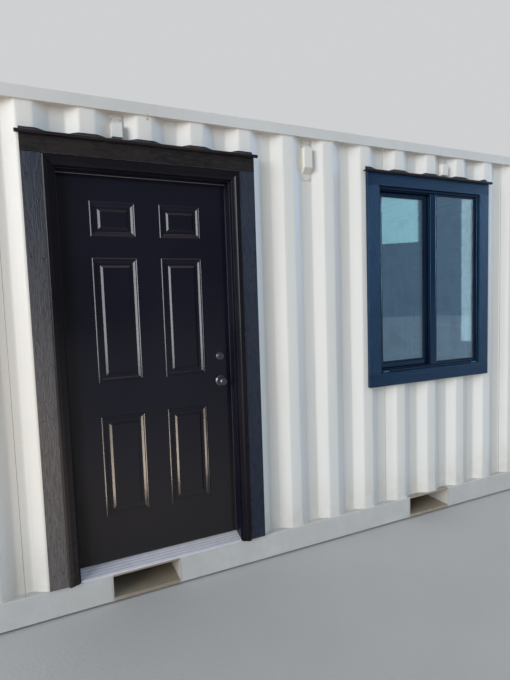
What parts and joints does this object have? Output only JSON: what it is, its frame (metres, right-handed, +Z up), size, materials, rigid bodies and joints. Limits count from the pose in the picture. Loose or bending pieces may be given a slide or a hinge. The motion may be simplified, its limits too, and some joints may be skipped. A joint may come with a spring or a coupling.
{
  "type": "shipping container cabin",
  "caption": "Corrugated steel container cabin with a hinged entrance door, a sliding window in black trim and fork pockets in its base.",
  "frame": {"origin": "bottom centre of the container, on the plane of the lower corner castings", "axes": "+Z up, +X along the length to the right as seen from the front, the wall with door and window faces -Y"},
  "size_m": [6.058, 2.468, 2.591],
  "materials": {
    "wall_paint": "satin off-white paint, weathered",
    "rail_paint": "satin off-white paint, weathered",
    "base_paint": "dark underside coating",
    "plywood": "worn container plywood",
    "casting_paint": "painted cast steel",
    "cargo_paint": "satin off-white paint",
    "lock_gear": "galvanised",
    "vent_paint": "painted over with the wall",
    "tube_steel": "primed steel tube",
    "jamb_paint": "black paint on wood",
    "sill_metal": "ribbed mill finish",
    "trim_black": "satin black with pressed grain",
    "cap_black": "satin black",
    "door_black": "satin black",
    "hinge_steel": "satin steel",
    "lock_black": "dark metal",
    "window_black": "black vinyl",
    "window_glass": "clear insulated glass"
  },
  "bodies": {
    "cabin": {"corner_castings": "casting_paint", "base_rails": "rail_paint", "fork_pocket_sides": "rail_paint", "fork_pocket_plates": "rail_paint", "cross_members": "base_paint", "end_sills": "rail_paint", "floor": "plywood", "top_rails": "rail_paint", "end_headers": "rail_paint", "roof": "wall_paint", "corner_posts": "wall_paint", "back_wall": "wall_paint", "end_wall": "wall_paint", "cargo_doors": "cargo_paint", "lock_rods": "lock_gear", "cargo_door_hinges": "lock_gear", "wall_vents": "vent_paint", "opening_posts": "tube_steel", "opening_headers": "tube_steel", "door_jambs": "jamb_paint", "door_head_jamb": "jamb_paint", "door_sill": "sill_metal", "door_brickmould_sides": "trim_black", "door_brickmould_head": "trim_black", "door_trim_sides": "trim_black", "door_trim_head": "trim_black", "drip_caps": "cap_black", "trim_closures": "cap_black", "jamb_hinge_leaves": "hinge_steel", "window_trim_sides": "trim_black", "window_trim_head_and_sill": "trim_black", "window_frame_sides": "window_black", "window_frame_head_and_sill": "window_black", "window_sashes": "window_black", "window_glass": "window_glass", "front_wall_left": "wall_paint", "front_wall_over_door": "wall_paint", "front_wall_middle": "wall_paint", "front_wall_under_window": "wall_paint", "front_wall_over_window": "wall_paint", "front_wall_right": "wall_paint"},
    "door": {"door_slab": "door_black", "slab_hinge_leaves": "hinge_steel", "lock_fittings": "lock_black"},
    "knob": {"door_knobs": "lock_black"}
  },
  "joints": [
    {"name": "door_hinge", "type": "hinge", "parent": "cabin", "child": "door", "pos_m": [-1.35425, -1.081, 1.2], "axis": [0, 0, 1], "range_deg": [0, 110]},
    {"name": "knob_turn", "type": "hinge", "parent": "door", "child": "knob", "pos_m": [-0.5185, -1.11225, 1.111], "axis": [0, 1, 0], "range_deg": [-60, 60], "stiffness_Nm_per_rad": 0.4}
  ]
}
